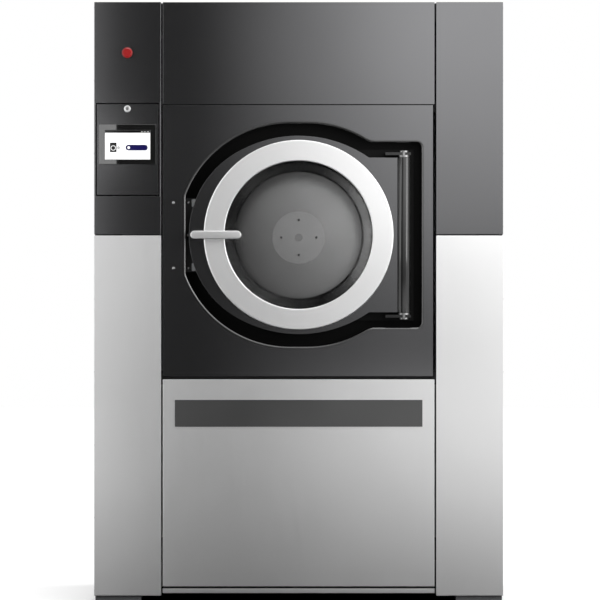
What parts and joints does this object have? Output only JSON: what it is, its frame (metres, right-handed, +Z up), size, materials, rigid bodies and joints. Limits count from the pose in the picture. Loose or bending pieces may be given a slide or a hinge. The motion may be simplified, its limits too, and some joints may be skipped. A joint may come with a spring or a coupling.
{
  "type": "washer-extractor",
  "caption": "Soft-mount industrial washer-extractor: round glass door in a recessed panel, drum on a sprung tub, touch-screen column and steel cabinet.",
  "frame": {"origin": "on the floor, in the middle of the machine's overall box", "axes": "+X to the viewer's right, the front faces -Y, +Z up"},
  "size_m": [1.48, 1.496, 2.171],
  "materials": {
    "graphite": "satin graphite paint",
    "stainless": "brushed",
    "dark_steel": "dark brushed",
    "ring_steel": "fine brushed",
    "drum_steel": "perforated, polished",
    "galvanised": "galvanised sheet",
    "frame_paint": "dark grey paint",
    "black_plastic": "satin black",
    "bezel": "gloss black",
    "screen": "lit display",
    "red_plastic": "gloss red",
    "glass": "clear, slightly grey",
    "rubber": "matte black",
    "hinge_steel": "dark polished",
    "handle": "satin",
    "shaft_steel": "machined",
    "cast": "painted casting",
    "motor_body": "painted fins",
    "brass": "cast",
    "enclosure": null,
    "pipe_plastic": "grey pipe"
  },
  "bodies": {
    "cabinet": {"base_frame": "frame_paint", "side_frames": "frame_paint", "cross_rails": "frame_paint", "left_upper_cover": "graphite", "right_upper_cover": "graphite", "lower_column_covers": "stainless", "side_panels": "stainless", "rear_panel": "galvanised", "drive_cover": "galvanised", "roof": "galvanised", "upper_centre_panel": "graphite", "lower_panel": "stainless", "accent_strip": "dark_steel", "sill_strip": "stainless", "door_panel": "graphite", "recess_liner": "black_plastic", "pedestals": "frame_paint", "damper_bodies": "cast", "drain_valve": "black_plastic", "drain_pipe": "pipe_plastic", "inlet_valves": "brass", "stop_base": "black_plastic", "control_box": "enclosure", "main_switch_base": "black_plastic", "cable_gland": "black_plastic"},
    "tub_unit": {"hinge_brackets": "shaft_steel", "lock_plate": "black_plastic", "mouth_plate": "frame_paint", "door_seal": "rubber", "tub_shell": "stainless", "tub_back": "stainless", "bearing_housing": "cast", "bearings": "shaft_steel", "drive_belts": "rubber", "motor": "motor_body", "cradle": "frame_paint", "air_springs": "rubber", "damper_rods": "shaft_steel", "tub_pipes": "stainless", "drain_bellows": "rubber", "inlet_hose": "rubber"},
    "drum": {"drum_shell": "drum_steel", "drum_lifters": "drum_steel", "hub_plate": "drum_steel", "drum_spider": "cast", "drum_pulley": "cast"},
    "rotor": {"motor_pulley": "shaft_steel"},
    "door": {"door_fascia": "graphite", "door_ring": "ring_steel", "door_glass": "glass", "door_back_ring": "stainless", "hinge_tube": "hinge_steel"},
    "handle": {"door_handle": "handle", "latch_bolt": "shaft_steel"},
    "control_door": {"control_cover": "graphite", "display_bezel": "bezel", "touch_screen": "screen"},
    "key": {"key_plug": "shaft_steel"},
    "stop": {"stop_button": "red_plastic"},
    "switch_knob": {"main_switch_knob": "red_plastic"}
  },
  "joints": [
    {"name": "suspension_bounce", "type": "slide", "parent": "cabinet", "child": "tub_unit", "axis": [0, 0, 1], "range_m": [-0.012, 0.012], "stiffness_N_per_m": 200000, "springref_m": 0.03008, "deforming": ["air_springs", "drain_bellows", "inlet_hose"]},
    {"name": "drum_spin", "type": "hinge", "parent": "tub_unit", "child": "drum", "pos_m": [0, 0, 1.328], "axis": [0, 1, 0], "continuous": true},
    {"name": "motor_spin", "type": "hinge", "parent": "tub_unit", "child": "rotor", "pos_m": [0, 0.55, 0.56], "axis": [0, 1, 0], "continuous": true},
    {"name": "door_swing", "type": "hinge", "parent": "tub_unit", "child": "door", "pos_m": [0.381, -0.69, 1.328], "axis": [0, 0, 1], "range_deg": [0, 135]},
    {"name": "handle_turn", "type": "hinge", "parent": "door", "child": "handle", "pos_m": [-0.3765, -0.7, 1.328], "axis": [0, 1, 0], "range_deg": [0, 45], "stiffness_Nm_per_rad": 1.5, "springref_deg": -28.65},
    {"name": "control_cover_open", "type": "hinge", "parent": "cabinet", "child": "control_door", "pos_m": [-0.6185, -0.694, 1.479], "axis": [1, 0, 0], "range_deg": [0, 80]},
    {"name": "key_turn", "type": "hinge", "parent": "control_door", "child": "key", "pos_m": [-0.62, -0.7, 1.782], "axis": [0, 1, 0], "range_deg": [0, 90]},
    {"name": "stop_press", "type": "slide", "parent": "cabinet", "child": "stop", "axis": [0, 1, 0], "range_m": [0, 0.006]},
    {"name": "main_switch_turn", "type": "hinge", "parent": "cabinet", "child": "switch_knob", "pos_m": [0.6, 0.72, 1.7], "axis": [0, 1, 0], "range_deg": [0, 90]}
  ],
  "couplings": [
    {"joint": "motor_spin", "follows": "drum_spin", "ratio": 5}
  ]
}
